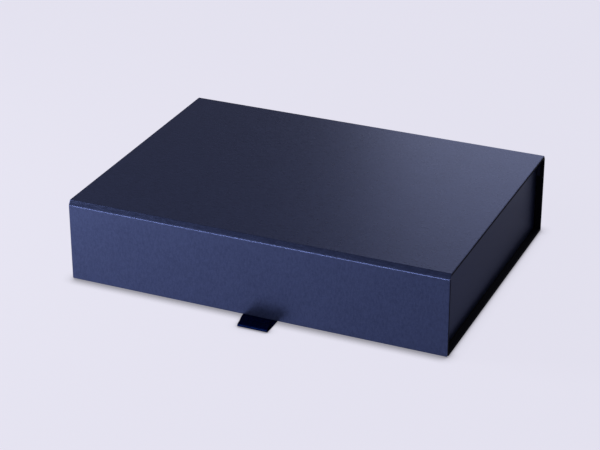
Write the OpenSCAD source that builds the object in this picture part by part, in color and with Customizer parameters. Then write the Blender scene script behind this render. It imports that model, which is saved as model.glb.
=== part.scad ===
// Book-style box for papers: a paper-covered case of four boards round one tray.
// X runs along the flap, -Y is the front, Z is up, and the box stands on Z = 0.

/* [Case] */
// Width of the case, along the flap
case_w = 320; // [240:1:460]
// Depth of the case, from the flap's face to the back of the spine
case_d = 236; // [170:1:340]
// Height of the closed case
case_h = 70; // [45:1:120]
// Thickness of the case's boards
case_board_t = 2; // [1.5:0.1:3]
// Thickness of the covering paper
cover_t = 0.25; // [0.15:0.05:0.4]
// Thickness of the lining paper
lining_t = 0.2; // [0.1:0.05:0.3]
// Width of the covering paper that is turned in over a board's edge
turn_in = 15; // [8:1:25]
// Margin that a lining sheet leaves at a panel's free edges
lining_margin = 3; // [1:0.5:6]
// Clearance under the flap's foot
foot_gap = 0.9; // [0.8:0.1:1.5]

/* [Hinge strips] */
// How far a hinge strip reaches in from the upright panel's face
strip_run = 3; // [2.5:0.1:5]
// How far a hinge strip drops from the lid's face
strip_drop = 4; // [3.5:0.1:6]
// Distance from a crease to the flat stretch of its strip
crease_gap = 0.6; // [0.5:0.1:0.8]
// Further distance to the lining of the strip
strip_lining_inset = 0.3; // [0.2:0.1:0.6]

/* [Tray] */
// Distance from the case's sides in to the tray's sides
overhang = 5.5; // [2:0.5:10]
// Thickness of the tray's boards
tray_board_t = 2; // [1.5:0.1:3]
// Clearance between the tray's rim and the lid
lid_gap = 0.4; // [0.3:0.1:1]
// Clearance between the tray's front and the flap
flap_gap = 0.4; // [0.3:0.1:1]
// Width of the tray's wrap that is turned under its floor
turn_under = 12; // [6:1:20]
// Reach of a corner stay along each wall
stay_reach = 20; // [10:1:30]
// Thickness of a corner stay
stay_t = 0.15; // [0.1:0.05:0.25]

/* [Closure] */
// Diameter of a magnet
magnet_d = 12; // [6:1:18]
// Thickness of a magnet
magnet_t = 1.3; // [0.6:0.1:1.3]
// Clearance round and behind a magnet in its pocket
pocket_clearance = 0.1; // [0.05:0.05:0.2]
// Distance from the case's side in to the middle of a magnet
magnet_inset = 50; // [50:1:80]
// Height of the magnets' centres
magnet_z = 28; // [24:1:32]

/* [Pull tab] */
// Width of the ribbon
ribbon_w = 25; // [15:1:40]
// Thickness of the ribbon
ribbon_t = 0.3; // [0.2:0.05:0.35]
// Distance of the ribbon's middle to the right of the box's middle
tab_offset = 8; // [-40:1:40]
// Reach of the folded loop in front of the flap
tab_reach = 19; // [12:1:40]
// Height of the loop's round end
tab_end_h = 2.6; // [1.8:0.1:4]
// Height of the ribbon's tails glued in the flap
tail_h = 20; // [10:1:22]
// Clearance between the ribbon and what it lies on or under
ribbon_gap = 0.15; // [0.05:0.05:0.15]
// Distance from the flap's face to the bend of the ribbon
bend_gap = 0.4; // [0.3:0.1:1]
// Length over which the loop's two layers stay together
tab_joined = 2; // [1:0.5:4]

/* [Hidden] */
$fn = 48;

// Colours as the photo shows them, and plain ones for what it hides
navy = [0.17, 0.20, 0.34];
navy_lining = [0.12, 0.14, 0.24];
grey_board = [0.55, 0.54, 0.52];
ribbon_blue = [0.05, 0.07, 0.18];
nickel = [0.75, 0.75, 0.77];
kraft = [0.70, 0.56, 0.38];

// Planes of the case
half_w = case_w / 2;
front_y = -case_d / 2;
back_y = case_d / 2;
wrapped_t = cover_t + case_board_t + cover_t;
panel_t = wrapped_t + lining_t;
crease_z = case_h - strip_drop;
spine_in_y = back_y - wrapped_t;
base_front_y = front_y + panel_t + flap_gap;
flap_board_in_y = front_y + cover_t + case_board_t;

// Planes of the tray
tray_half_w = half_w - overhang;
tray_front_y = base_front_y;
tray_back_y = spine_in_y - lining_t;
tray_z = wrapped_t;
rim_z = case_h - panel_t - lid_gap;
skin_t = cover_t + stay_t;
wall_t = skin_t + tray_board_t + cover_t;
floor_top_z = tray_z + cover_t + tray_board_t;
tray_magnet_y = tray_front_y + skin_t;

// Magnets and their pockets
magnet_x = half_w - magnet_inset;
pocket_r = magnet_d / 2 + pocket_clearance;
pocket_depth = magnet_t + pocket_clearance;

// Pull tab
tail_y = front_y + wrapped_t - 2 * ribbon_t;
tail_top_z = foot_gap + tail_h;
fold_z = foot_gap - ribbon_gap - 2 * ribbon_t;
tab_root_y = front_y - bend_gap;
tab_end_r = tab_end_h / 2;
tab_end_y = front_y - tab_reach + tab_end_r;

// A small length that makes cuts run clear of the faces they open
cut = 0.1;

// A box between two corners
module slab(low, high) {
    translate(low) cube(high - low);
}

// A box that is even about the middle of the case, from y0 to y1 and z0 to z1
module wide_slab(half, y0, y1, z0, z1) {
    slab([-half, y0, z0], [half, y1, z1]);
}

// A pair of boxes at both sides, from x0 to x1 on the right and mirrored on the left
module side_slabs(x0, x1, y0, y1, z0, z1) {
    for (side = [0, 1])
        mirror([side, 0, 0]) slab([x0, y0, z0], [x1, y1, z1]);
}

// An outline in Y and Z drawn out along X, even about the middle
module extrude_x(width) {
    rotate([90, 0, 90]) linear_extrude(width, center = true) children();
}

// A ring of four walls between an outer and an inner rectangle
module ring(half, y0, y1, z0, z1, t) {
    difference() {
        wide_slab(half, y0, y1, z0, z1);
        wide_slab(half - t, y0 + t, y1 - t, z0 - cut, z1 + cut);
    }
}

// Case: base
module base_board() {
    color(grey_board)
        wide_slab(half_w - cover_t, base_front_y + cover_t, back_y - cover_t - case_board_t,
                  cover_t, cover_t + case_board_t);
}

module base_cover() {
    color(navy) {
        wide_slab(half_w, base_front_y, back_y, 0, cover_t);
        // Edges and turn-ins at the sides
        side_slabs(half_w - cover_t, half_w, base_front_y, spine_in_y, cover_t, wrapped_t);
        side_slabs(half_w - turn_in, half_w - cover_t, base_front_y, spine_in_y,
                   wrapped_t - cover_t, wrapped_t);
        // Edge and turn-in at the front
        wide_slab(half_w - cover_t, base_front_y, base_front_y + cover_t, cover_t, wrapped_t);
        wide_slab(half_w - turn_in, base_front_y + cover_t, base_front_y + turn_in,
                  wrapped_t - cover_t, wrapped_t);
    }
}

// Case: spine
module spine_board() {
    color(grey_board)
        wide_slab(half_w - cover_t, back_y - cover_t - case_board_t, back_y - cover_t,
                  cover_t, crease_z);
}

module spine_cover() {
    color(navy) {
        wide_slab(half_w, back_y - cover_t, back_y, cover_t, crease_z);
        side_slabs(half_w - cover_t, half_w, spine_in_y, back_y - cover_t, cover_t, crease_z);
        side_slabs(half_w - turn_in, half_w - cover_t, spine_in_y, spine_in_y + cover_t,
                   wrapped_t, crease_z);
    }
}

module spine_lining() {
    color(navy_lining)
        wide_slab(half_w - lining_margin, spine_in_y - lining_t, spine_in_y,
                  crease_z - turn_in, crease_z);
}

// Case: lid
module lid_board() {
    color(grey_board)
        wide_slab(half_w - cover_t, front_y + strip_run, back_y - strip_run,
                  case_h - cover_t - case_board_t, case_h - cover_t);
}

module lid_cover() {
    y0 = front_y + strip_run;
    y1 = back_y - strip_run;
    color(navy) {
        wide_slab(half_w, y0, y1, case_h - cover_t, case_h);
        side_slabs(half_w - cover_t, half_w, y0, y1, case_h - wrapped_t, case_h - cover_t);
        side_slabs(half_w - turn_in, half_w - cover_t, y0, y1,
                   case_h - wrapped_t, case_h - wrapped_t + cover_t);
    }
}

module lid_lining() {
    color(navy_lining)
        wide_slab(half_w - lining_margin, front_y + strip_run, back_y - strip_run,
                  case_h - panel_t, case_h - wrapped_t);
}

// Case: hinge strips, whose creases lie in the middle of the covering paper
strip_y = strip_run - cover_t / 2;
strip_z = strip_drop - cover_t / 2;
strip_len = sqrt(strip_y * strip_y + strip_z * strip_z);

// A sheet of the front strip, from its distance below the outer face
module strip_sheet(half, inset, depth, t) {
    along = [strip_y, strip_z] / strip_len;
    inward = [along[1], -along[0]];
    crease = [front_y + cover_t / 2, crease_z];
    start = crease + along * inset + inward * (depth - cover_t / 2);
    end = crease + along * (strip_len - inset) + inward * (depth - cover_t / 2);
    extrude_x(2 * half) polygon([start, end, end + inward * t, start + inward * t]);
}

module strip_cover() {
    color(navy) strip_sheet(half_w, crease_gap, 0, cover_t);
}

module strip_lining() {
    color(navy_lining)
        strip_sheet(half_w - lining_margin, crease_gap + strip_lining_inset, cover_t, lining_t);
}

module front_strip_cover() { strip_cover(); }
module front_strip_lining() { strip_lining(); }
module back_strip_cover() { mirror([0, 1, 0]) strip_cover(); }
module back_strip_lining() { mirror([0, 1, 0]) strip_lining(); }

// Case: flap
module flap_board() {
    color(grey_board)
        difference() {
            wide_slab(half_w - cover_t, front_y + cover_t, flap_board_in_y,
                      foot_gap + cover_t, crease_z);
            tail_room();
            for (side = [-1, 1])
                translate([side * magnet_x, flap_board_in_y + cut, magnet_z])
                    rotate([90, 0, 0]) cylinder(h = pocket_depth + cut, r = pocket_r);
        }
}

module flap_cover() {
    flap_in_y = front_y + wrapped_t;
    color(navy)
        difference() {
            union() {
                wide_slab(half_w, front_y, front_y + cover_t, foot_gap, crease_z);
                side_slabs(half_w - cover_t, half_w, front_y + cover_t, flap_in_y,
                           foot_gap, crease_z);
                side_slabs(half_w - turn_in, half_w - cover_t, flap_board_in_y, flap_in_y,
                           foot_gap, crease_z);
                // Edge and turn-in at the foot
                wide_slab(half_w - cover_t, front_y + cover_t, flap_in_y,
                          foot_gap, foot_gap + cover_t);
                wide_slab(half_w - turn_in, flap_board_in_y, flap_in_y,
                          foot_gap + cover_t, foot_gap + turn_in);
            }
            tail_room();
        }
}

module flap_lining() {
    color(navy_lining)
        wide_slab(half_w - lining_margin, front_y + wrapped_t, front_y + panel_t,
                  foot_gap + lining_margin, crease_z);
}

// A magnet with its back face at y, standing into the board behind or before it
module magnet(x, y) {
    color(nickel)
        translate([x, y, magnet_z])
            rotate([90, 0, 0]) cylinder(h = magnet_t, d = magnet_d);
}

module flap_magnet_left() { magnet(-magnet_x, flap_board_in_y); }
module flap_magnet_right() { magnet(magnet_x, flap_board_in_y); }

// A box as wide as the ribbon, at the ribbon's place
module ribbon_slab(y0, y1, z0, z1) {
    translate([tab_offset, 0, 0]) wide_slab(ribbon_w / 2, y0, y1, z0, z1);
}

// Pull tab: the tails glued in the flap and folded forward under its foot
module tail_room() {
    ribbon_slab(tail_y, front_y + wrapped_t + cut, foot_gap - cut, tail_top_z);
}

module pull_tab_tail() {
    color(ribbon_blue) {
        ribbon_slab(tail_y, front_y + wrapped_t, fold_z, tail_top_z);
        ribbon_slab(front_y, tail_y, fold_z, fold_z + 2 * ribbon_t);
    }
}

// Pull tab: the folded loop in front of the flap, open inside up to its round end
module pull_tab_loop() {
    color(ribbon_blue)
        translate([tab_offset, 0, 0])
            extrude_x(ribbon_w)
                difference() {
                    loop_outline(tab_root_y, tab_end_r, fold_z, fold_z + 2 * ribbon_t);
                    loop_outline(tab_root_y - tab_joined, tab_end_r - ribbon_t,
                                 fold_z + ribbon_t, fold_z + ribbon_t);
                }
}

// An outline that widens from its root to a round end
module loop_outline(root_y, r, z0, z1) {
    arc_steps = 16;
    arc = [for (i = [0 : arc_steps])
        let (a = 270 - 180 * i / arc_steps)
        [tab_end_y + r * cos(a), fold_z + tab_end_r + r * sin(a)]];
    root = z1 > z0 ? [[root_y, z1], [root_y, z0]] : [[root_y, z0]];
    polygon(concat(arc, root));
}

// Tray: boards
module tray_floor() {
    inset = skin_t + tray_board_t;
    color(grey_board)
        wide_slab(tray_half_w - inset, tray_front_y + inset, tray_back_y - inset,
                  tray_z + cover_t, floor_top_z);
}

module tray_end_wall(y0) {
    color(grey_board)
        wide_slab(tray_half_w - skin_t, y0, y0 + tray_board_t, tray_z + cover_t, rim_z - cover_t);
}

module tray_front_wall() {
    difference() {
        tray_end_wall(tray_magnet_y);
        color(grey_board)
            for (side = [-1, 1])
                translate([side * magnet_x, tray_magnet_y - cut, magnet_z])
                    rotate([-90, 0, 0]) cylinder(h = pocket_depth + cut, r = pocket_r);
    }
}

module tray_back_wall() { tray_end_wall(tray_back_y - skin_t - tray_board_t); }

module tray_side_wall() {
    inset = skin_t + tray_board_t;
    color(grey_board)
        slab([tray_half_w - inset, tray_front_y + inset, tray_z + cover_t],
             [tray_half_w - skin_t, tray_back_y - inset, rim_z - cover_t]);
}

module tray_right_wall() { tray_side_wall(); }
module tray_left_wall() { mirror([1, 0, 0]) tray_side_wall(); }

// Tray: the wrap goes outside, over the rim, down inside and a little under the floor
module tray_wrap() {
    inset = skin_t + tray_board_t;
    color(navy) {
        ring(tray_half_w, tray_front_y, tray_back_y, tray_z, rim_z, cover_t);
        ring(tray_half_w, tray_front_y, tray_back_y, rim_z - cover_t, rim_z, wall_t);
        ring(tray_half_w - inset, tray_front_y + inset, tray_back_y - inset,
             floor_top_z, rim_z, cover_t);
        ring(tray_half_w, tray_front_y, tray_back_y, tray_z, tray_z + cover_t, turn_under);
    }
}

module tray_floor_lining() {
    color(navy_lining)
        wide_slab(tray_half_w - wall_t, tray_front_y + wall_t, tray_back_y - wall_t,
                  floor_top_z, floor_top_z + lining_t);
}

// Tray: a stay folded round a corner of the boards, at the right and the back
module corner_stay_at_back() {
    x1 = tray_half_w - cover_t;
    y1 = tray_back_y - cover_t;
    z0 = tray_z + cover_t;
    z1 = rim_z - cover_t;
    color(kraft)
        difference() {
            slab([x1 - stay_reach, y1 - stay_reach, z0], [x1, y1, z1]);
            slab([x1 - stay_reach - cut, y1 - stay_reach - cut, z0 - cut],
                 [x1 - stay_t, y1 - stay_t, z1 + cut]);
        }
}

// The same stay at the front, which lies nearer the middle than the back does
module corner_stay_at_front() {
    translate([0, tray_front_y + tray_back_y, 0]) mirror([0, 1, 0]) corner_stay_at_back();
}

module corner_stay_back_right() { corner_stay_at_back(); }
module corner_stay_back_left() { mirror([1, 0, 0]) corner_stay_at_back(); }
module corner_stay_front_right() { corner_stay_at_front(); }
module corner_stay_front_left() { mirror([1, 0, 0]) corner_stay_at_front(); }

module tray_magnet_left() { magnet(-magnet_x, tray_magnet_y + magnet_t); }
module tray_magnet_right() { magnet(magnet_x, tray_magnet_y + magnet_t); }

base_board();
base_cover();
spine_board();
spine_cover();
spine_lining();
tray_floor();
tray_front_wall();
tray_back_wall();
tray_left_wall();
tray_right_wall();
tray_wrap();
tray_floor_lining();
corner_stay_front_left();
corner_stay_front_right();
corner_stay_back_left();
corner_stay_back_right();
tray_magnet_left();
tray_magnet_right();
back_strip_cover();
back_strip_lining();
lid_board();
lid_cover();
lid_lining();
front_strip_cover();
front_strip_lining();
flap_board();
flap_cover();
flap_lining();
flap_magnet_left();
flap_magnet_right();
pull_tab_tail();
pull_tab_loop();
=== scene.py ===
import bpy
import math
from mathutils import Matrix, Vector


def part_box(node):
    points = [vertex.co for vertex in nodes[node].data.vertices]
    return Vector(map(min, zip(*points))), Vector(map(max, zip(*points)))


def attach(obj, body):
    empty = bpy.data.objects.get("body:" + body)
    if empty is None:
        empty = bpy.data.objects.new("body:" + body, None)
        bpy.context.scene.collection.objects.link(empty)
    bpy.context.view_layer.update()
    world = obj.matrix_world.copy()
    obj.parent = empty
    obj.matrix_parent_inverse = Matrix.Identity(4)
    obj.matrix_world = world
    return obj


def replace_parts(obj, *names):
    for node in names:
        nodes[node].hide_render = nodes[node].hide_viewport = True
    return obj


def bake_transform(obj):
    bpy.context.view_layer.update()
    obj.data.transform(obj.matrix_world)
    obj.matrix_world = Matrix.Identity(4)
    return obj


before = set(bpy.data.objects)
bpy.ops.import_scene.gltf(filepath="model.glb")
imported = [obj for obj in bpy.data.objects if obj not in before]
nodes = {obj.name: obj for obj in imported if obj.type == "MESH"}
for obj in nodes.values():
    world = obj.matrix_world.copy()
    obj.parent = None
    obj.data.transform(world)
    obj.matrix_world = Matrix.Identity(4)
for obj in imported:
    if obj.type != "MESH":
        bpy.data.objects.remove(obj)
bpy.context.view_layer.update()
mm = 0.001
print("frame loaded:", len(nodes), "nodes")


# The camera, at the photograph's angle (px for a 600 wide picture, degrees, mm)
photoView = {"focalPx": 1921.0, "pictureWidth": 600, "sensor": 36, "clip": (0.05, 50),
             "azimuth": 23.58, "elevation": 26.19, "roll": -0.06,
             "right": -10.51, "up": 23.85, "distance": 1590.6}


def addCamera(view):
    a, e, r = (math.radians(view[k]) for k in ("azimuth", "elevation", "roll"))
    back = Vector((math.sin(a) * math.cos(e), -math.cos(a) * math.cos(e), math.sin(e)))
    right = Vector((math.cos(a), math.sin(a), 0))
    up = back.cross(right)
    rolledRight = right * math.cos(r) + up * math.sin(r)
    rolledUp = up * math.cos(r) - right * math.sin(r)
    place = (back * view["distance"] + rolledRight * view["right"] + rolledUp * view["up"]) * mm
    data = bpy.data.cameras.new("photoCamera")
    data.sensor_width = view["sensor"]
    data.lens = view["focalPx"] / view["pictureWidth"] * view["sensor"]
    data.clip_start, data.clip_end = view["clip"]
    camera = bpy.data.objects.new("photoCamera", data)
    turn = Matrix((rolledRight, rolledUp, back)).transposed().to_4x4()
    camera.matrix_world = Matrix.Translation(place) @ turn
    bpy.context.scene.collection.objects.link(camera)
    bpy.context.scene.camera = camera


addCamera(photoView)
print("camera placed")


# Node helpers for the materials
def newMaterial(name):
    material = bpy.data.materials.new(name)
    material.use_nodes = True
    tree = material.node_tree
    return material, tree, tree.nodes["Principled BSDF"]


def noiseFrom(tree, spread, detail, roughness):
    # Noise on the object's own place; spread is how many grains there are to a metre along X, Y and Z
    place = tree.nodes.new("ShaderNodeTexCoord")
    scaled = tree.nodes.new("ShaderNodeMapping")
    scaled.inputs["Scale"].default_value = spread
    noise = tree.nodes.new("ShaderNodeTexNoise")
    noise.inputs["Scale"].default_value = 1
    noise.inputs["Detail"].default_value = detail
    noise.inputs["Roughness"].default_value = roughness
    tree.links.new(place.outputs["Object"], scaled.inputs["Vector"])
    tree.links.new(scaled.outputs["Vector"], noise.inputs["Vector"])
    return noise.outputs["Fac"]


def blendColours(tree, factor, low, high, start=0.3, end=0.7):
    ramp = tree.nodes.new("ShaderNodeValToRGB")
    ramp.color_ramp.elements[0].position = start
    ramp.color_ramp.elements[0].color = (*low, 1)
    ramp.color_ramp.elements[1].position = end
    ramp.color_ramp.elements[1].color = (*high, 1)
    tree.links.new(factor, ramp.inputs["Fac"])
    return ramp.outputs["Color"]


def blendValues(tree, factor, low, high, start=0.3, end=0.7):
    spread = tree.nodes.new("ShaderNodeMapRange")
    for key, value in (("From Min", start), ("From Max", end), ("To Min", low), ("To Max", high)):
        spread.inputs[key].default_value = value
    tree.links.new(factor, spread.inputs["Value"])
    return spread.outputs["Result"]


def sumOf(tree, first, second, share):
    mixed = tree.nodes.new("ShaderNodeMath")
    mixed.operation = "MULTIPLY_ADD"
    tree.links.new(second, mixed.inputs[0])
    mixed.inputs[1].default_value = share
    tree.links.new(first, mixed.inputs[2])
    return mixed.outputs[0]


def bumpFrom(tree, shader, height, distance):
    bump = tree.nodes.new("ShaderNodeBump")
    bump.inputs["Distance"].default_value = distance
    tree.links.new(height, bump.inputs["Height"])
    tree.links.new(bump.outputs["Normal"], shader.inputs["Normal"])


pearlPaper = {
    "dark": (0.062, 0.082, 0.199), "light": (0.084, 0.110, 0.257),
    "metallic": 0.9, "roughness": (0.26, 0.32), "gloss": 0.3, "grainDepth": 0.000013,
    "mottle": (45, 45, 45), "fleckShare": 0.6, "mottleShare": 0.35,
    "heights": (0.55, 1.05),            # the grain's own low and high
    "middleTone": 0.6, "toneReach": 0.4,
}


def makePearlPaper(name, grain, fleck, contrast, rougher=0, depth=1):
    # Navy paper with a mica finish: fine streaks along its grain and a faint mottle under them
    material, tree, shader = newMaterial(name)
    streaks = noiseFrom(tree, grain, 4.0, 0.6)
    flecks = noiseFrom(tree, fleck, 2.0, 0.5)
    mottle = noiseFrom(tree, pearlPaper["mottle"], 2.0, 0.5)
    height = sumOf(tree, streaks, flecks, pearlPaper["fleckShare"])
    tone = blendValues(tree, height, 0, 1, *pearlPaper["heights"])
    tone = sumOf(tree, tone, mottle, pearlPaper["mottleShare"])
    middle, reach = pearlPaper["middleTone"], pearlPaper["toneReach"] / contrast
    colour = blendColours(tree, tone, pearlPaper["dark"], pearlPaper["light"],
                          max(middle - reach, 0), min(middle + reach, 1))
    tree.links.new(colour, shader.inputs["Base Color"])
    low, high = (v + rougher for v in pearlPaper["roughness"])
    sheen = blendValues(tree, height, low, high, *pearlPaper["heights"])
    tree.links.new(sheen, shader.inputs["Roughness"])
    shader.inputs["Metallic"].default_value = pearlPaper["metallic"]
    shader.inputs["Specular IOR Level"].default_value = pearlPaper["gloss"]
    bumpFrom(tree, shader, height, pearlPaper["grainDepth"] * depth)
    return material


# Plain papers and board: fibres to a metre, the detail and roughness of their noise, and what they look like.
# The case's board edges and turned-in margins get a near-black paper: painted shade, standing in for the shade on
# those edges and in the recesses beside the tray.
plainPapers = {
    "liningPaper": {"fibres": (900, 900, 900), "noise": (3.0, 0.6),
                    "dark": (0.018, 0.022, 0.055), "light": (0.030, 0.036, 0.080),
                    "roughness": (0.68, 0.8), "gloss": 0.35, "depth": 0.00004},
    "paintedShadeMarginPaper": {"fibres": (900, 900, 900), "noise": (3.0, 0.6),
                    "dark": (0.004, 0.004, 0.009), "light": (0.008, 0.008, 0.018),
                    "roughness": 0.7, "gloss": 0.15, "depth": 0.00003},
    "greyboard": {"fibres": (500, 500, 1400), "noise": (5.0, 0.65),
                  "dark": (0.22, 0.21, 0.19), "light": (0.38, 0.37, 0.34),
                  "roughness": 0.9, "gloss": 0.5, "depth": 0.0001},
    "stayPaper": {"fibres": (260, 260, 1500), "noise": (4.0, 0.6),
                  "dark": (0.36, 0.23, 0.12), "light": (0.52, 0.36, 0.20),
                  "roughness": 0.7, "gloss": 0.5, "depth": 0.00005},
}


def makePlainPaper(name):
    look = plainPapers[name]
    material, tree, shader = newMaterial(name)
    fibres = noiseFrom(tree, look["fibres"], *look["noise"])
    tree.links.new(blendColours(tree, fibres, look["dark"], look["light"]), shader.inputs["Base Color"])
    if isinstance(look["roughness"], tuple):
        tree.links.new(blendValues(tree, fibres, *look["roughness"]), shader.inputs["Roughness"])
    else:
        shader.inputs["Roughness"].default_value = look["roughness"]
    shader.inputs["Specular IOR Level"].default_value = look["gloss"]
    bumpFrom(tree, shader, fibres, look["depth"])
    return material


nickelFinish = {"marks": (300, 40, 2500), "dark": (0.55, 0.55, 0.57), "light": (0.68, 0.68, 0.70),
                "roughness": (0.24, 0.36)}


def makeNickel(name):
    material, tree, shader = newMaterial(name)
    marks = noiseFrom(tree, nickelFinish["marks"], 3.0, 0.5)
    colour = blendColours(tree, marks, nickelFinish["dark"], nickelFinish["light"])
    tree.links.new(colour, shader.inputs["Base Color"])
    tree.links.new(blendValues(tree, marks, *nickelFinish["roughness"]), shader.inputs["Roughness"])
    shader.inputs["Metallic"].default_value = 1
    return material


ribbonFinish = {"floats": (5000, 350, 350), "dark": (0.002, 0.006, 0.034), "light": (0.006, 0.017, 0.110),
                "edge": (0.02, 0.03, 0.12), "roughness": (0.30, 0.42),
                "metallic": 0.92, "gloss": 0.1, "depth": 0.00004}


def makeRibbon(name):
    # Satin: long floats along the ribbon, so the sheen lies across it
    material, tree, shader = newMaterial(name)
    floats = noiseFrom(tree, ribbonFinish["floats"], 2.0, 0.5)
    colour = blendColours(tree, floats, ribbonFinish["dark"], ribbonFinish["light"])
    tree.links.new(colour, shader.inputs["Base Color"])
    tree.links.new(blendValues(tree, floats, *ribbonFinish["roughness"]), shader.inputs["Roughness"])
    shader.inputs["Metallic"].default_value = ribbonFinish["metallic"]
    shader.inputs["Specular IOR Level"].default_value = ribbonFinish["gloss"]
    shader.inputs["Specular Tint"].default_value = (*ribbonFinish["edge"], 1)
    bumpFrom(tree, shader, floats, ribbonFinish["depth"])
    return material


paperOnLid = makePearlPaper("pearlPaperLid", (130, 800, 800), (500, 700, 700), 1.1)
paperUpright = makePearlPaper("pearlPaperUpright", (650, 650, 300), (900, 900, 800), 0.6, rougher=0.06)
paperOnFold = makePearlPaper("pearlPaperFold", (130, 800, 800), (500, 700, 700), 0.5, rougher=-0.04, depth=0.15)
liningPaper = makePlainPaper("liningPaper")
paintedShadeMarginPaper = makePlainPaper("paintedShadeMarginPaper")
greyboard = makePlainPaper("greyboard")
stayPaper = makePlainPaper("stayPaper")
nickel = makeNickel("nickel")
ribbonSatin = makeRibbon("ribbonSatin")
print("materials made")


# Mesh helpers, all in mm
sharpAngle = 38


def newPiece(name, points, faces, material, body=None):
    mesh = bpy.data.meshes.new(name)
    mesh.from_pydata([(x * mm, y * mm, z * mm) for x, y, z in points], [], faces)
    mesh.validate()
    mesh.shade_smooth()
    mesh.set_sharp_from_angle(angle=math.radians(sharpAngle))
    mesh.materials.append(material)
    piece = bpy.data.objects.new(name, mesh)
    bpy.context.scene.collection.objects.link(piece)
    if body:
        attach(piece, body)
    return piece


def arc(centre, radius, start, end, steps):
    turns = [math.radians(start + (end - start) * k / steps) for k in range(steps + 1)]
    return [(centre[0] + radius * math.cos(t), centre[1] + radius * math.sin(t)) for t in turns]


def span(node):
    low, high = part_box(node)
    return [v / mm for v in low], [v / mm for v in high]


def joinRings(rings, closed=True):
    # Quads between rings of points that have the same number; closed joins each ring's end to its start
    count, faces = len(rings[0]), []
    for k in range(len(rings) - 1):
        for i in range(count if closed else count - 1):
            j = (i + 1) % count
            faces.append((k * count + i, k * count + j, (k + 1) * count + j, (k + 1) * count + i))
    return faces


def gridCells(rows, columns):
    # Both faces of a thin sheet, whose points come row by row: first all of one face, then all of the other
    size, faces = rows * columns, []
    for j in range(rows - 1):
        for i in range(columns - 1):
            a = j * columns + i
            b, c, d = a + 1, a + columns + 1, a + columns
            faces += [(a, b, c, d), (size + d, size + c, size + b, size + a)]
    return faces


def inwardAt(line, k):
    # The direction from the line's point k to its inner side
    a, b = line[max(k - 1, 0)], line[min(k + 1, len(line) - 1)]
    run, fall = b[0] - a[0], b[1] - a[1]
    length = math.hypot(run, fall)
    return -fall / length, run / length


def nearest(values, wanted):
    return min(range(len(values)), key=lambda k: abs(values[k] - wanted))


def smoothLine(points, steps):
    # A smooth curve through the points
    line = []
    ends = [points[0]] + list(points) + [points[-1]]
    for k in range(1, len(ends) - 2):
        a, b, c, d = (Vector(p) for p in ends[k - 1:k + 3])
        slope, bow, twist = c - a, 2 * a - 5 * b + 4 * c - d, 3 * b - a - 3 * c + d
        for i in range(steps):
            t = i / steps
            line.append(0.5 * ((2 * b) + slope * t + bow * t * t + twist * t ** 3))
    return [tuple(p) for p in line] + [tuple(points[-1])]


def smoothStep(x, low, high):
    t = min(max((x - low) / (high - low), 0), 1)
    return t * t * (3 - 2 * t)


grid = {"step": 40, "closeBy": (-1.2, -0.8, -0.4, 0, 0.4, 0.8, 1.2), "clear": 2}


def gridLines(low, high, marks):
    # Grid lines from low to high, close together at the marks where the sheet steps down
    found = {low, high}
    for m in marks:
        found |= {m + k for k in grid["closeBy"] if low < m + k < high}
    steps = max(int((high - low) / grid["step"]), 1)
    evenly = [low + (high - low) * k / steps for k in range(1, steps)]
    return sorted(found | {v for v in evenly if all(abs(v - m) > grid["clear"] for m in marks)})


# Paper round the edges of a board
wrap = {
    "paper": 0.25, "boardAndPaper": 2.5, "outerEdge": 0.5, "innerEdge": 0.45, "turnIn": 15,
    "straight": 0.4, "endBevel": (0.15, 0.08), "leastRadius": 0.02,
    "cornerRadius": 1.0, "leastCorner": 0.03,
    # The rows below, the board's side and the turned-in margin, are the ones that get the near-black painted
    # shade
    "marginRows": (8, 17),              # the board's side and the turned-in margin, as places in edgeSection
}


def edgeSection(thick=None):
    # A sheet round a board's edge: (distance in from the edge, depth below the face), from the face round
    # the edge to the turn-in's end and back on the sheet's inner side
    thick = thick or wrap["boardAndPaper"]
    turnIn, straight, least = wrap["turnIn"], wrap["straight"], wrap["leastRadius"]
    bevelRun, bevelDrop = wrap["endBevel"]
    # Where the section has no board, papers and roundings shrink to fit it
    paper = min(wrap["paper"], thick / 2 - 0.01)
    big, small = min(wrap["outerEdge"], thick * 0.5), min(wrap["innerEdge"], thick * 0.45)
    face = wrap["outerEdge"] + straight
    outside = [(face, 0)] + arc((big, big), big, -90, -180, 7)
    outside += arc((small, thick - small), small, 180, 90, 5)
    outside += [(small + straight, thick), (turnIn - bevelRun, thick), (turnIn, thick - bevelDrop)]
    inside = [(turnIn, thick - paper), (small + straight, thick - paper)]
    inside += arc((small + least, thick - small - least), max(small - paper, least), 90, 180, 5)
    inside += arc((big, big), max(big - paper, least), 180, 270, 7)
    inside += [(face, paper)]
    return outside + inside


def paintShadeOnMargins(piece, columns, isMargin):
    # Gives the faces of the turned-in margins and the board's sides a near-black paper, painted shade for the
    # case's dark edges and recesses; faces come in runs of `columns`
    piece.data.materials.append(paintedShadeMarginPaper)
    for face in piece.data.polygons:
        if isMargin(face.index // columns, face.index % columns):
            face.material_index = 1
    return piece


def strapSection(half, thick=None):
    # The section of a panel that is wrapped at both sides: (across, depth), a closed outline of the thin sheet
    edge = edgeSection(thick)
    return [(half - d, h) for d, h in edge] + [(d - half, h) for d, h in reversed(edge)]


def sweepStrap(name, half, rows, material, body=None):
    # rows: a list of (function of depth giving (y, z), thickness)
    rings = [[(u, *place(h)) for u, h in strapSection(half, thick)] for place, thick in rows]
    count = len(rings[0])
    points = [p for ring in rings for p in ring]
    faces = joinRings(rings)
    faces += [tuple(range(count)), tuple(reversed(range(len(points) - count, len(points))))]
    first, last = wrap["marginRows"]

    def isMargin(k, i):
        return k < len(rows) - 1 and (first <= i < last or first <= count - 2 - i < last)

    return paintShadeOnMargins(newPiece(name, points, faces, material, body), count, isMargin)


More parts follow.
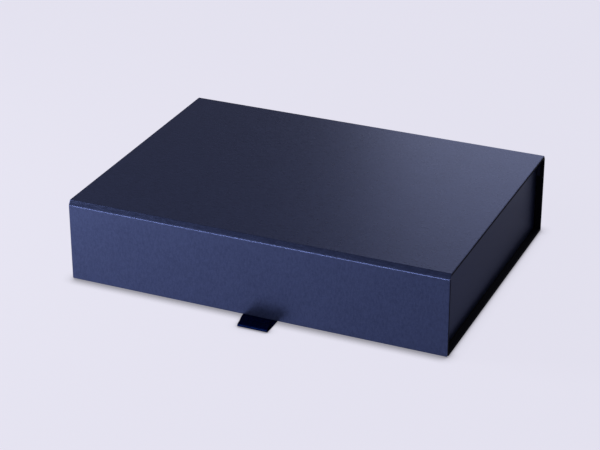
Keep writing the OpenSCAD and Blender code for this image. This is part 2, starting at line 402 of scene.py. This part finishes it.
def cupPanel(name, half, foot, top, place, material, body):
    # A panel wrapped at both sides and its foot: one sheet round three edges, open at the top where it goes on
    rings = []
    for d, h in edgeSection():
        r = max(wrap["cornerRadius"] - d, wrap["leastCorner"])
        x, z = half - d, foot + d
        left = [(-x, top)] + arc((-x + r, z + r), r, 180, 270, 6)
        right = arc((x - r, z + r), r, 270, 360, 6) + [(x, top)]
        rings.append([place(u, v, h) for u, v in left + right])
    count, last = len(rings[0]), len(rings) - 1
    points = [p for ring in rings for p in ring]
    faces = joinRings(rings, closed=False)
    faces.append(tuple(reversed(range(count))))
    faces.append(tuple(last * count + i for i in range(count)))
    ends = [k * count for k in range(last + 1)] + [k * count + count - 1 for k in range(last, -1, -1)]
    faces.append(tuple(ends))
    begin, end = wrap["marginRows"]
    return paintShadeOnMargins(newPiece(name, points, faces, material, body), count - 1,
                         lambda k, i: begin <= k < end)


def sheetGrid(name, across, along, place, thick, material, body=None, dip=None):
    # A thin sheet of lining on a grid of lines; dip(u, v) is how much deeper it lies there
    def under(u, v):
        return dip(u, v) if dip else 0

    top = [[place(u, v, thick - under(u, v)) for u in across] for v in along]
    low = [[place(u, v, -under(u, v)) for u in across] for v in along]
    rows, columns = len(along), len(across)
    points = [p for row in top for p in row] + [p for row in low for p in row]
    size = rows * columns
    faces = gridCells(rows, columns)
    rim = list(range(columns)) + [j * columns + columns - 1 for j in range(1, rows)]
    rim += [(rows - 1) * columns + i for i in range(columns - 2, -1, -1)]
    rim += [j * columns for j in range(rows - 2, 0, -1)]
    for k, a in enumerate(rim):
        b = rim[(k + 1) % len(rim)]
        faces.append((b, a, size + a, size + b))
    return newPiece(name, points, faces, material, body)


# Case: base and spine, one sheet of paper round the bottom corner
caseLow, caseHigh = span("base_cover")
spineHigh = span("spine_cover")[1]
half, back = caseHigh[0], spineHigh[1]
seams = {"lidToStrip": 0.6, "uprightToStrip": 1.4}
spineShape = {"cornerRadius": 0.9, "leastRadius": 0.03, "baseSeam": 114.0, "middle": 30.0}


def cornerPath(depth):
    # The path from the base's underside round the bottom corner and up the spine, at a depth below the face
    r = max(spineShape["cornerRadius"] - depth, spineShape["leastRadius"])
    y, z = back - depth, depth
    line = [(spineShape["baseSeam"], z)] + arc((y - r, z + r), r, 270, 360, 8)
    return line + [(y, spineShape["middle"]), (y, spineHigh[2] - seams["uprightToStrip"])]


spineRows = [(lambda h, k=k: cornerPath(h)[k], None) for k in range(len(cornerPath(0)))]
spineSheet = sweepStrap("spineCover", half, spineRows, paperUpright, "tray_case")
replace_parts(spineSheet, "spine_cover")
baseSheet = cupPanel("baseCover", half, caseLow[1], spineShape["baseSeam"], lambda u, v, h: (u, v, h),
                     paperOnLid, "tray_case")
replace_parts(baseSheet, "base_cover")
print("base and spine covered")


# Case: lid and flap
lidLow, lidHigh = span("lid_cover")
flapLow, flapHigh = span("flap_cover")
lidTop = lidHigh[2]

lidRows = [(lambda h, y=y: (y, lidTop - h), None) for y in
           (lidLow[1] + seams["lidToStrip"], -60, 0, 60, lidHigh[1] - seams["lidToStrip"])]
lidSheet = sweepStrap("lidCover", half, lidRows, paperOnLid, "lid")
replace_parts(lidSheet, "lid_cover")
flapSheet = cupPanel("flapCover", half, flapLow[2], flapHigh[2] - seams["uprightToStrip"],
                     lambda u, v, h: (u, flapLow[1] + h, v), paperUpright, "flap")
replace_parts(flapSheet, "flap_cover")
print("lid and flap covered")


# Hinge strips: the covering paper bends from the lid over the strip to the upright panel
lining = {"thick": 0.2, "dip": 0.2, "step": (1, 0.4)}      # how far a lining's step runs before and past an edge
hinge = {
    # Outer face from the lid to the upright panel: (distance out past the lid's board, drop below its face)
    "path": [(-0.6, 0), (-0.3, 0), (0, 0.01), (0.24, 0.10), (0.50, 0.36), (0.88, 0.86), (1.34, 1.52),
             (1.80, 2.22), (2.24, 2.93), (2.54, 3.48), (2.78, 3.98), (2.90, 4.36), (2.97, 4.76),
             (3.0, 5.15), (3.0, 5.4)],
    "steps": 5, "middle": 2.1,
    # The lining's side that faces the boards, in the same way
    "liningPath": [(0.03, 2.66), (0.05, 2.2), (0.14, 1.75), (0.36, 1.36), (0.62, 1.42), (0.91, 1.82),
                   (1.37, 2.52), (1.80, 3.22), (1.93, 3.5), (1.8, 3.8), (1.35, 3.9), (0.75, 3.92),
                   (0.36, 3.95)],
    "liningSteps": 4, "liningMiddle": 2.5, "liningStart": 1,
    "thin": 0.52,                       # the strip has no board: its paper and the turned-in ends only
    "lidBoardEnds": (0.02, 0.3), "uprightBoardStarts": (3.75, 4.0),
    "lidBend": 0.5, "uprightBend": (3.4, 4.0),      # places on the hinge path at the lid's bend and at the upright panel's bend
}


def hingeRows(side):
    # side is -1 at the front and 1 at the back
    line = smoothLine(hinge["path"], hinge["steps"])
    rows = []
    for k, (out, drop) in enumerate(line):
        board = 1 - smoothStep(out, *hinge["lidBoardEnds"]) + smoothStep(drop, *hinge["uprightBoardStarts"])
        thick = hinge["thin"] + (wrap["boardAndPaper"] - hinge["thin"]) * min(board, 1)
        place = (lambda h, o=out, d=drop, i=inwardAt(line, k):
                 (side * (lidHigh[1] + o + i[0] * h), lidTop - d - i[1] * h))
        rows.append((place, thick, drop))
    return rows


def blendHalves(upper, lower):
    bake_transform(upper)
    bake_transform(lower)


def addHingeLining(name, side, strip):
    # The lining goes from the lid board's edge over the strip's inner side to the edge of the upright board
    line = smoothLine(hinge["liningPath"], hinge["liningSteps"])
    spots = [(out, drop, *inwardAt(line, k)) for k, (out, drop) in enumerate(line)]
    onStrip = [k for k, spot in enumerate(spots) if spot[0] >= hinge["liningStart"]]
    middle = onStrip[nearest([spots[k][1] for k in onStrip], hinge["liningMiddle"])]

    def place(u, k, h):
        out, drop, sideways, down = spots[k]
        return u, side * (lidHigh[1] + out + sideways * h), lidTop - drop - down * h

    low, high = span(strip + "_lining")
    across = gridLines(low[0], high[0], ())
    upper = sheetGrid(name + "Upper", across, range(middle + 1), place, lining["thick"],
                      liningPaper)
    lower = sheetGrid(name + "Lower", across, range(middle, len(spots)), place, lining["thick"],
                      liningPaper)
    blendHalves(upper, lower)
    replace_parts(upper, strip + "_lining")
    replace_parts(lower, strip + "_lining")


def addHinge(name, side, strip):
    rows = hingeRows(side)
    middle = nearest([drop for _, _, drop in rows], hinge["middle"])
    upper = sweepStrap(name + "Upper", half, [r[:2] for r in rows[:middle + 1]], paperOnFold)
    lower = sweepStrap(name + "Lower", half, [r[:2] for r in rows[middle:]], paperOnFold)
    blendHalves(upper, lower)
    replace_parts(upper, strip + "_cover")
    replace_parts(lower, strip + "_cover")
    addHingeLining(name + "Lining", side, strip)


addHinge("frontStrip", -1, "front_strip")
addHinge("backStrip", 1, "back_strip")
print("hinge strips made")


# Tray: one wrapped ring of walls
tray = {"outerCorner": 0.8, "rimOuter": 0.75, "rimInner": 0.7, "foot": 0.5, "turnUnder": 12, "wall": 2.65,
        "straight": 0.4, "sideRows": (22, 44), "floorBoard": 2.02, "leastCorner": 0.05}


def traySection(low, top):
    # (distance in from the outside, height), a closed outline of the sheet over the wall
    paper, wall, straight, under = wrap["paper"], tray["wall"], tray["straight"], tray["turnUnder"]
    ro, ri, rf = tray["rimOuter"], tray["rimInner"], tray["foot"]
    first, second = (low + rise for rise in tray["sideRows"])
    floor = low + paper + tray["floorBoard"]
    outside = [(under, low), (rf + straight, low)] + arc((rf, low + rf), rf, 270, 180, 4)
    outside += [(0, low + rf + straight), (0, first), (0, second), (0, top - ro - straight)]
    outside += arc((ro, top - ro), ro, 180, 90, 6) + arc((wall - ri, top - ri), ri, 90, 0, 6)
    outside += [(wall, top - ri - straight), (wall, floor + straight), (wall, floor)]
    inside = [(wall - paper, floor), (wall - paper, top - ri - straight)]
    inside += arc((wall - ri, top - ri), ri - paper, 0, 90, 6) + arc((ro, top - ro), ro - paper, 90, 180, 6)
    inside += [(paper, top - ro - straight), (paper, second), (paper, first), (paper, low + rf + straight)]
    inside += arc((rf, low + rf), rf - paper, 180, 270, 4)
    return outside + inside + [(rf + straight, low + paper), (under, low + paper)]


def roundedRectangle(halfX, y0, y1, inset):
    r = max(tray["outerCorner"] - inset, tray["leastCorner"])
    x, low, high = halfX - inset, y0 + inset, y1 - inset
    line = arc((x - r, low + r), r, -90, 0, 6) + arc((x - r, high - r), r, 0, 90, 6)
    return line + arc((-x + r, high - r), r, 90, 180, 6) + arc((-x + r, low + r), r, 180, 270, 6)


def addTray():
    low, high = span("tray_wrap")
    rings = [[(x, y, z) for x, y in roundedRectangle(high[0], low[1], high[1], d)]
             for d, z in traySection(low[2], high[2])]
    points = [p for ring in rings for p in ring]
    faces = [tuple(i % len(points) for i in face) for face in joinRings(rings + rings[:1])]
    return newPiece("trayWrap", points, faces, paperUpright, "tray_case")


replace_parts(addTray(), "tray_wrap")
print("tray wrapped")


# Linings: each lies on the turned-in margins and steps down on the board between them
turnEdge = half - wrap["turnIn"]
footEdge = flapLow[2] + wrap["turnIn"]
stepBefore, stepPast = lining["step"]


def dipAcross(u):
    return lining["dip"] * (1 - smoothStep(abs(u), turnEdge - stepBefore, turnEdge + stepPast))


lidLiningLow, lidLiningHigh = span("lid_lining")
lidLining = sheetGrid(
    "lidLining", gridLines(lidLiningLow[0], lidLiningHigh[0], (-turnEdge, turnEdge)),
    gridLines(lidLiningLow[1], lidLiningHigh[1], ()),
    lambda u, v, h: (u, v, lidLiningHigh[2] - h), lining["thick"], liningPaper, "lid",
    lambda u, v: dipAcross(u))
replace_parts(lidLining, "lid_lining")

flapLiningLow, flapLiningHigh = span("flap_lining")
flapLining = sheetGrid(
    "flapLining", gridLines(flapLiningLow[0], flapLiningHigh[0], (-turnEdge, turnEdge)),
    gridLines(flapLiningLow[2], flapLiningHigh[2], (footEdge,)),
    lambda u, v, h: (u, flapLiningLow[1] + h, v), lining["thick"], liningPaper, "flap",
    lambda u, v: dipAcross(u) * smoothStep(v, footEdge - stepPast, footEdge + stepBefore))
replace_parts(flapLining, "flap_lining")
print("linings laid")


# Pull tab: one ribbon, folded at its near end, its upper layer a little askew
ribbon = {"width": 25, "thick": 0.28, "askew": 4.2, "askewOver": 21, "lift": 0.15, "layer": 0.3,
          "inFlap": 0.45, "lines": (-0.5, -0.485, -0.25, 0, 0.25, 0.485, 0.5), "steps": 3}
loopLow, loopHigh = span("pull_tab_loop")
tailHigh = span("pull_tab_tail")[1]


def ribbonLine():
    # The ribbon's middle line: (y, z), from the lower tail's top to the upper tail's top
    lift, top, foot = ribbon["lift"], tailHigh[2], flapLow[1]
    low = loopLow[2] + lift
    high = low + ribbon["layer"]
    r = (loopHigh[2] - loopLow[2]) / 2 - lift
    endY, endZ = loopLow[1] + r + lift, low + r
    front = tailHigh[1] - ribbon["inFlap"]
    behind = front + ribbon["layer"]
    line = [(front, top - 4), (front, 12), (front, 4), (front, 1.6)]
    line += [(front - 0.32, low + 0.25), (front - 0.9, low)]
    line += [(foot, low), (foot - 3, low), (foot - 8, low), (foot - 14, low)]
    line += arc((endY, endZ), r, 270, 90, 12)
    line += [(endY + 2.5, endZ + r - 0.05), (foot - 11, high + 1.25), (foot - 7, high + 0.62),
             (foot - 3, high + 0.16), (foot - 1.2, high + 0.02), (foot, high), (foot + 0.8, high)]
    line += [(behind - 1.1, high), (behind - 0.25, high + 0.25)]
    line += [(behind, 1.8), (behind, 4), (behind, 12), (behind, top)]
    return line


def addRibbon():
    line = smoothLine(ribbonLine(), ribbon["steps"])
    lengths = [0]
    for a, b in zip(line, line[1:]):
        lengths.append(lengths[-1] + math.hypot(b[0] - a[0], b[1] - a[1]))
    fold = min(range(len(line)), key=lambda k: line[k][0])
    middle = (loopLow[0] + loopHigh[0]) / 2
    top, low = [], []
    for k, (y, z) in enumerate(line):
        inward = inwardAt(line, k)
        past = max(lengths[k] - lengths[fold], 0)
        shift = -ribbon["askew"] * smoothStep(past, 0, ribbon["askewOver"])
        for rows, away in ((top, -ribbon["thick"] / 2), (low, ribbon["thick"] / 2)):
            rows.append([(middle + u * ribbon["width"] + shift, y + inward[0] * away, z + inward[1] * away)
                         for u in ribbon["lines"]])
    rows, columns = len(line), len(ribbon["lines"])
    size, end = rows * columns, (rows - 1) * columns
    points = [p for row in top for p in row] + [p for row in low for p in row]
    faces = gridCells(rows, columns)
    for j in range(0, end, columns):    # the two long edges
        faces.append((j, j + columns, size + j + columns, size + j))
        faces.append((j + 2 * columns - 1, j + columns - 1, size + j + columns - 1, size + j + 2 * columns - 1))
    faces.append(tuple(list(range(columns - 1, -1, -1)) + list(range(size, size + columns))))
    farEnd = list(range(size + end + columns - 1, size + end - 1, -1))
    faces.append(tuple(list(range(end, end + columns)) + farEnd))
    piece = newPiece("ribbonTab", points, faces, ribbonSatin)
    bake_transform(piece)
    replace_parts(piece, "pull_tab_tail", "pull_tab_loop")
    return lengths[-1]


print("ribbon laid, cut length in mm:", round(addRibbon(), 1))


# What is under the paper keeps its CAD shape
def finishNodes(names, material):
    for name in names:
        nodes[name].data.materials.clear()
        nodes[name].data.materials.append(material)


finishNodes([n for n in nodes if n.endswith(("_board", "_wall", "_floor"))], greyboard)
finishNodes([n for n in nodes if n.startswith("corner_stay")], stayPaper)
finishNodes([n for n in nodes if "magnet" in n], nickel)
finishNodes([n for n in nodes if n.endswith("_lining")], liningPaper)
print("hidden parts finished")


# Stage and light
stageLook = {
    "pale": (0.808, 0.793, 0.906), "ambient": 0.07, "worldInGloss": 0.1,
    "floor": (0.80, 0.79, 0.82), "floorSeen": 0.94, "floorInGloss": 0.1,
    "floorRoughness": 0.9, "floorHalf": 12.0, "floorDrop": 0.00006,
    "shadowReach": 0.0105, "shadowTone": 0.42, "shadowRange": (0.5, 0.98), "shadowRays": 16,
}


def paleShare(tree, seen, inGloss):
    # How much of the plain pale background a ray gets: what the camera sees, straight or through glass, and gloss
    path = tree.nodes.new("ShaderNodeLightPath")
    total = None
    for output, share in (("Is Camera Ray", seen), ("Is Transmission Ray", seen), ("Is Glossy Ray", inGloss)):
        part = tree.nodes.new("ShaderNodeMath")
        part.operation = "MULTIPLY_ADD"
        part.inputs[1].default_value = share
        tree.links.new(path.outputs[output], part.inputs[0])
        if total:
            tree.links.new(total, part.inputs[2])
        else:
            part.inputs[2].default_value = 0
        total = part.outputs[0]
    return total


def addFloor():
    size, z = stageLook["floorHalf"], -stageLook["floorDrop"]
    mesh = bpy.data.meshes.new("floor")
    mesh.from_pydata([(-size, -size, z), (size, -size, z), (size, size, z), (-size, size, z)], [], [(0, 1, 2, 3)])
    floor = bpy.data.objects.new("floor", mesh)
    bpy.context.scene.collection.objects.link(floor)
    material, tree, shader = newMaterial("paleFloor")
    shader.inputs["Base Color"].default_value = (*stageLook["floor"], 1)
    shader.inputs["Roughness"].default_value = stageLook["floorRoughness"]
    shader.inputs["Specular IOR Level"].default_value = 0
    glow = tree.nodes.new("ShaderNodeEmission")
    glow.inputs["Color"].default_value = (*stageLook["pale"], 1)
    closeBy = tree.nodes.new("ShaderNodeAmbientOcclusion")      # the soft shadow where the box meets the floor
    closeBy.samples = stageLook["shadowRays"]
    closeBy.inputs["Distance"].default_value = stageLook["shadowReach"]
    shade = blendValues(tree, closeBy.outputs["AO"], stageLook["shadowTone"], 1, *stageLook["shadowRange"])
    tree.links.new(shade, glow.inputs["Strength"])
    mix = tree.nodes.new("ShaderNodeMixShader")
    tree.links.new(paleShare(tree, stageLook["floorSeen"], stageLook["floorInGloss"]), mix.inputs["Fac"])
    tree.links.new(shader.outputs["BSDF"], mix.inputs[1])
    tree.links.new(glow.outputs["Emission"], mix.inputs[2])
    tree.links.new(mix.outputs["Shader"], tree.nodes["Material Output"].inputs["Surface"])
    mesh.materials.append(material)


def addWorld():
    world = bpy.data.worlds.new("studio")
    world.use_nodes = True
    bpy.context.scene.world = world
    tree = world.node_tree
    ambient = tree.nodes["Background"]
    ambient.inputs["Color"].default_value = (*stageLook["pale"], 1)
    ambient.inputs["Strength"].default_value = stageLook["ambient"]
    seen = tree.nodes.new("ShaderNodeBackground")
    seen.inputs["Color"].default_value = (*stageLook["pale"], 1)
    mix = tree.nodes.new("ShaderNodeMixShader")
    tree.links.new(paleShare(tree, 1, stageLook["worldInGloss"]), mix.inputs["Fac"])
    tree.links.new(ambient.outputs["Background"], mix.inputs[1])
    tree.links.new(seen.outputs["Background"], mix.inputs[2])
    tree.links.new(mix.outputs["Shader"], tree.nodes["World Output"].inputs["Surface"])


softLights = [
    # name, place (m), aimed at (m), size (m), brightness of its face, where 1 is white
    ("panelBehind", (0.1525, 2.5, 0.8), (0.1525, 0, 0.8), (2.095, 1.15), 1.0),
    ("lampLeft", (-0.78, -0.30, 0.36), (0, -0.2, 0), (0.4, 0.4), 13.5),
    ("stripFront", (-0.75, -1.85, 0.28), (0, 0, 0.06), (1.7, 0.14), 11),
]


def addLight(name, place, aim, size, brightness):
    data = bpy.data.lights.new(name, "AREA")
    data.shape, data.size, data.size_y = "RECTANGLE", size[0], size[1]
    data.energy = brightness * math.pi * size[0] * size[1]
    lamp = bpy.data.objects.new(name, data)
    lamp.location = place
    lamp.rotation_euler = (Vector(place) - Vector(aim)).to_track_quat("Z", "Y").to_euler()
    lamp.visible_camera = False
    bpy.context.scene.collection.objects.link(lamp)


addFloor()
addWorld()
for light in softLights:
    addLight(*light)
bpy.context.scene.view_settings.view_transform = "Standard"
print("stage and light set")
